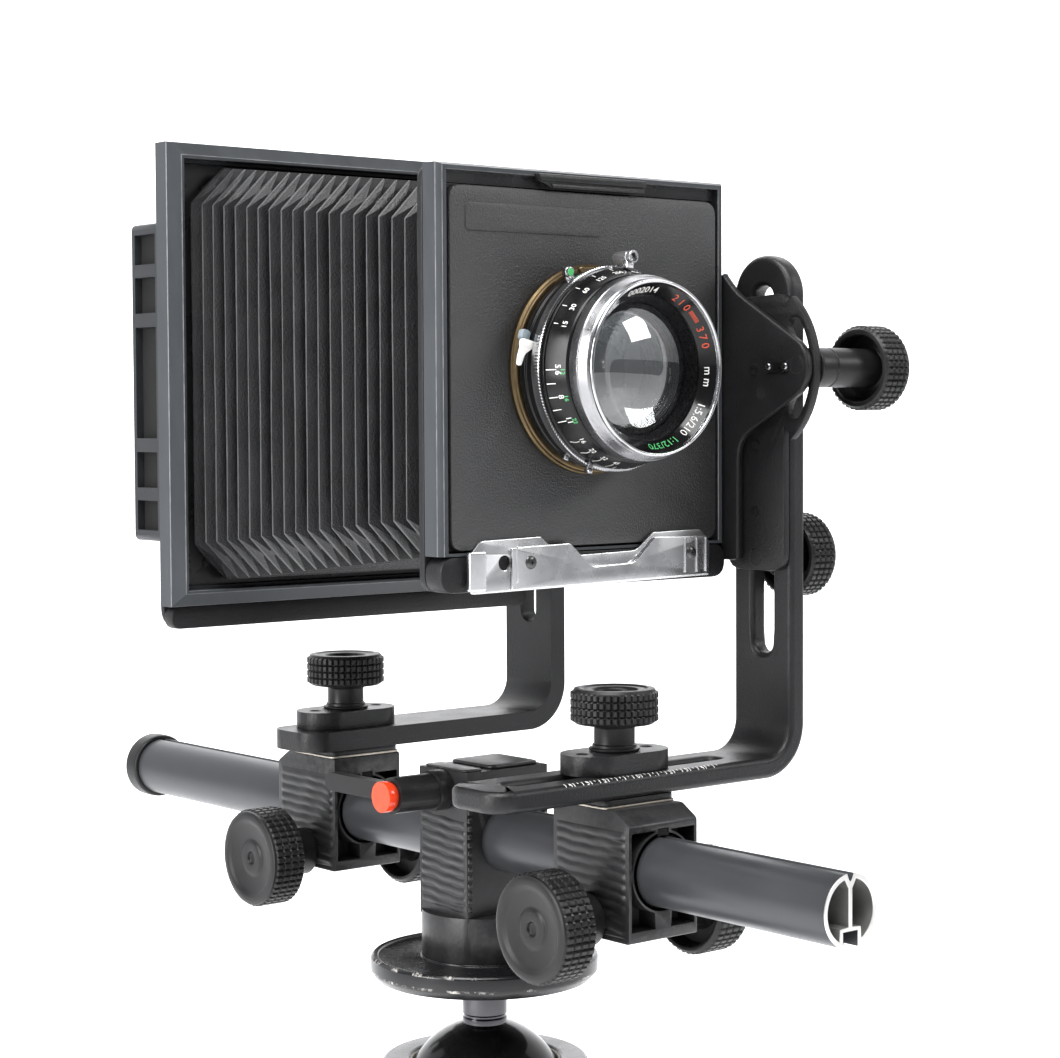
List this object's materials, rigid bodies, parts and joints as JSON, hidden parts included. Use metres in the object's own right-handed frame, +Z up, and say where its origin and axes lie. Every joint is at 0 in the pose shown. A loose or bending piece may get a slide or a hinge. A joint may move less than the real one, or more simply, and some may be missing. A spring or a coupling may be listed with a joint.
{
  "type": "monorail view camera on tripod",
  "caption": "Monorail view camera: L-shaped standards with bellows on a grooved rail, ball head and short tripod.",
  "frame": {"origin": "floor level under the middle of the rail and of the object's width", "axes": "+Z up, the lens faces -Y, +X is on the right when looking from behind the ground glass towards the lens seen from the front"},
  "size_m": [0.347, 0.5594, 0.8477],
  "materials": {
    "black_nylon": "moulded, satin",
    "knob_plastic": "moulded, knurled",
    "powder_coat": "black powder coat",
    "frame_plastic": "blue-grey moulded",
    "rail_anodised": "dark grey satin anodised",
    "rack_steel": "blackened",
    "bright_aluminium": "machined",
    "chrome": "polished",
    "lens_black": "gloss black anodised",
    "board_black": "fine wrinkle paint",
    "bellows_leatherette": "fine grain",
    "lens_glass": "coated",
    "focusing_glass": "ground",
    "brass": "dark bronze",
    "red_plastic": "gloss",
    "rubber": "matt",
    "polished_steel": "polished",
    "swing_metal": "satin",
    "head_metal": "black anodised, scuffed"
  },
  "bodies": {
    "tripod": {"tripod_apex": "head_metal", "leg_hinge_pins": "polished_steel", "pan_base": "head_metal"},
    "leg_1": {"leg_1": "powder_coat", "foot_1": "rubber"},
    "leg_2": {"leg_2": "powder_coat", "foot_2": "rubber"},
    "leg_3": {"leg_3": "powder_coat", "foot_3": "rubber"},
    "housing": {"ball_housing": "head_metal", "ball_collar": "head_metal"},
    "ball_knob": {"ball_lock_knob": "knob_plastic"},
    "ball": {"ball_stem": "polished_steel", "head_platform": "head_metal", "rail_clamp_block": "black_nylon"},
    "lever": {"clamp_lever": "knob_plastic"},
    "button": {"lever_button": "red_plastic"},
    "rail": {"monorail": "rail_anodised", "focus_rack": "rack_steel", "rail_end_cap": "knob_plastic"},
    "front_block": {"front_rail_block": "black_nylon"},
    "front_focus_knob": {"front_focus_knob": "knob_plastic"},
    "front_lock_knob": {"front_lock_knob": "knob_plastic"},
    "front_swing": {"front_swing_plate": "swing_metal", "front_swing_clamp": "powder_coat"},
    "front_swing_knob": {"front_swing_knob": "knob_plastic"},
    "front_arm": {"front_l_arm": "powder_coat"},
    "front_slider": {"front_rise_slider": "powder_coat"},
    "front_rise_knob": {"front_rise_knob": "knob_plastic"},
    "front_frame": {"front_frame": "powder_coat", "front_bellows_frame": "frame_plastic", "board_clip": "bright_aluminium", "lens_board": "board_black", "lens_flange": "brass", "shutter_body": "lens_black", "lens_barrel": "lens_black", "front_glass": "lens_glass", "rear_cell": "lens_black", "release_socket": "chrome"},
    "front_tilt_knob": {"front_tilt_knob": "knob_plastic"},
    "latch": {"board_latch": "powder_coat"},
    "speed_ring": {"speed_ring": "chrome"},
    "aperture_lever": {"aperture_lever": "chrome"},
    "cocking_lever": {"cocking_lever": "chrome"},
    "rear_block": {"rear_rail_block": "black_nylon"},
    "rear_focus_knob": {"rear_focus_knob": "knob_plastic"},
    "rear_lock_knob": {"rear_lock_knob": "knob_plastic"},
    "rear_swing": {"rear_swing_plate": "swing_metal", "rear_l_arm": "powder_coat", "rear_swing_clamp": "powder_coat"},
    "rear_swing_knob": {"rear_swing_knob": "knob_plastic"},
    "rear_slider": {"rear_rise_slider": "powder_coat"},
    "rear_rise_knob": {"rear_rise_knob": "knob_plastic"},
    "rear_frame": {"rear_frame": "powder_coat", "rear_bellows_frame": "frame_plastic", "bellows": "bellows_leatherette"},
    "rear_tilt_knob": {"rear_tilt_knob": "knob_plastic"},
    "back": {"ground_glass_back": "frame_plastic", "ground_glass": "focusing_glass"}
  },
  "joints": [
    {"name": "leg_1_fold", "type": "hinge", "parent": "tripod", "child": "leg_1", "pos_m": [-0.04838, -0.03725, 0.285], "axis": [0, -1, 0], "range_deg": [0, 22]},
    {"name": "leg_2_fold", "type": "hinge", "parent": "tripod", "child": "leg_2", "pos_m": [0.02419, 0.00465, 0.285], "axis": [-0.866, 0.5, 0], "range_deg": [0, 22]},
    {"name": "leg_3_fold", "type": "hinge", "parent": "tripod", "child": "leg_3", "pos_m": [0.02419, -0.07915, 0.285], "axis": [0.866, 0.5, 0], "range_deg": [0, 22]},
    {"name": "head_pan", "type": "hinge", "parent": "tripod", "child": "housing", "pos_m": [0, -0.03725, 0.32], "axis": [0, 0, 1], "continuous": true},
    {"name": "ball_lock_turn", "type": "hinge", "parent": "housing", "child": "ball_knob", "pos_m": [0.06, -0.03725, 0.36], "axis": [1, 0, 0], "range_deg": [-180, 180]},
    {"name": "ball_tilt", "type": "hinge", "parent": "housing", "child": "ball", "pos_m": [0, -0.03725, 0.379], "axis": [1, 0, 0], "range_deg": [-25, 25]},
    {"name": "clamp_lever_turn", "type": "hinge", "parent": "ball", "child": "lever", "pos_m": [0, -0.03725, 0.5344], "axis": [1, 0, 0], "range_deg": [0, 80]},
    {"name": "lever_button_press", "type": "slide", "parent": "lever", "child": "button", "axis": [1, 0, 0], "range_m": [0, 0.0015], "stiffness_N_per_m": 600},
    {"name": "rail_slide", "type": "slide", "parent": "ball", "child": "rail", "axis": [0, 1, 0], "range_m": [-0.03, 0.02]},
    {"name": "front_focus", "type": "slide", "parent": "rail", "child": "front_block", "axis": [0, 1, 0], "range_m": [-0.09, 0.01], "deforming": ["bellows"]},
    {"name": "front_focus_turn", "type": "hinge", "parent": "front_block", "child": "front_focus_knob", "pos_m": [0, -0.1406, 0.4875], "axis": [1, 0, 0], "range_deg": [-764, 90]},
    {"name": "front_lock_turn", "type": "hinge", "parent": "front_block", "child": "front_lock_knob", "pos_m": [0, -0.1406, 0.4875], "axis": [1, 0, 0], "range_deg": [-180, 180]},
    {"name": "front_swing", "type": "hinge", "parent": "front_block", "child": "front_swing", "pos_m": [0, -0.1337, 0.54], "axis": [0, 0, 1], "range_deg": [-12, 12], "deforming": ["bellows"]},
    {"name": "front_swing_lock_turn", "type": "hinge", "parent": "front_swing", "child": "front_swing_knob", "pos_m": [0, -0.1337, 0.58], "axis": [0, 0, 1], "range_deg": [-180, 180]},
    {"name": "front_shift", "type": "slide", "parent": "front_swing", "child": "front_arm", "axis": [1, 0, 0], "range_m": [-0.025, 0.025], "deforming": ["bellows"]},
    {"name": "front_rise", "type": "slide", "parent": "front_arm", "child": "front_slider", "axis": [0, 0, 1], "range_m": [-0.03, 0.03], "deforming": ["bellows"]},
    {"name": "front_rise_lock_turn", "type": "hinge", "parent": "front_slider", "child": "front_rise_knob", "pos_m": [0.115, -0.1337, 0.646], "axis": [1, 0, 0], "range_deg": [-180, 180]},
    {"name": "front_tilt", "type": "hinge", "parent": "front_slider", "child": "front_frame", "pos_m": [0.092, -0.1292, 0.736], "axis": [1, 0, 0], "range_deg": [-10, 10], "deforming": ["bellows"]},
    {"name": "front_tilt_lock_turn", "type": "hinge", "parent": "front_frame", "child": "front_tilt_knob", "pos_m": [0.135, -0.1652, 0.736], "axis": [1, 0, 0], "range_deg": [-180, 180]},
    {"name": "rear_focus", "type": "slide", "parent": "rail", "child": "rear_block", "axis": [0, 1, 0], "range_m": [-0.01, 0.1], "deforming": ["bellows"]},
    {"name": "rear_focus_turn", "type": "hinge", "parent": "rear_block", "child": "rear_focus_knob", "pos_m": [0, 0.0856, 0.4875], "axis": [1, 0, 0], "range_deg": [-90, 848]},
    {"name": "rear_lock_turn", "type": "hinge", "parent": "rear_block", "child": "rear_lock_knob", "pos_m": [0, 0.0856, 0.4875], "axis": [1, 0, 0], "range_deg": [-180, 180]},
    {"name": "rear_swing", "type": "hinge", "parent": "rear_block", "child": "rear_swing", "pos_m": [0, 0.0787, 0.54], "axis": [0, 0, 1], "range_deg": [-12, 12], "deforming": ["bellows"]},
    {"name": "rear_swing_lock_turn", "type": "hinge", "parent": "rear_swing", "child": "rear_swing_knob", "pos_m": [0, 0.0787, 0.58], "axis": [0, 0, 1], "range_deg": [-180, 180]},
    {"name": "rear_rise", "type": "slide", "parent": "rear_swing", "child": "rear_slider", "axis": [0, 0, 1], "range_m": [-0.01, 0.03], "deforming": ["bellows"]},
    {"name": "rear_rise_lock_turn", "type": "hinge", "parent": "rear_slider", "child": "rear_rise_knob", "pos_m": [0.1445, 0.0787, 0.646], "axis": [1, 0, 0], "range_deg": [-180, 180]},
    {"name": "rear_tilt", "type": "hinge", "parent": "rear_slider", "child": "rear_frame", "pos_m": [0.1215, 0.0742, 0.736], "axis": [1, 0, 0], "range_deg": [-10, 10], "deforming": ["bellows"]},
    {"name": "rear_tilt_lock_turn", "type": "hinge", "parent": "rear_frame", "child": "rear_tilt_knob", "pos_m": [0.1645, 0.1102, 0.736], "axis": [1, 0, 0], "range_deg": [-180, 180]},
    {"name": "board_latch_lift", "type": "slide", "parent": "front_frame", "child": "latch", "axis": [0, 0, 1], "range_m": [0, 0.006], "stiffness_N_per_m": 150, "springref_m": -0.002},
    {"name": "shutter_speed", "type": "hinge", "parent": "front_frame", "child": "speed_ring", "pos_m": [0, -0.13725, 0.735], "axis": [0, -1, 0], "range_deg": [-60, 60]},
    {"name": "aperture", "type": "hinge", "parent": "front_frame", "child": "aperture_lever", "pos_m": [0, -0.13725, 0.735], "axis": [0, -1, 0], "range_deg": [-20, 25]},
    {"name": "shutter_cock", "type": "hinge", "parent": "front_frame", "child": "cocking_lever", "pos_m": [0, -0.13725, 0.735], "axis": [0, -1, 0], "range_deg": [0, 30], "stiffness_Nm_per_rad": 0.05, "springref_deg": -5.73},
    {"name": "back_open", "type": "slide", "parent": "rear_frame", "child": "back", "axis": [0, 1, 0], "range_m": [0, 0.012], "stiffness_N_per_m": 800, "springref_m": -0.012}
  ],
  "couplings": [
    {"joint": "front_focus_turn", "follows": "front_focus", "rad_per_m": 147.06},
    {"joint": "rear_focus_turn", "follows": "rear_focus", "rad_per_m": 147.06}
  ]
}
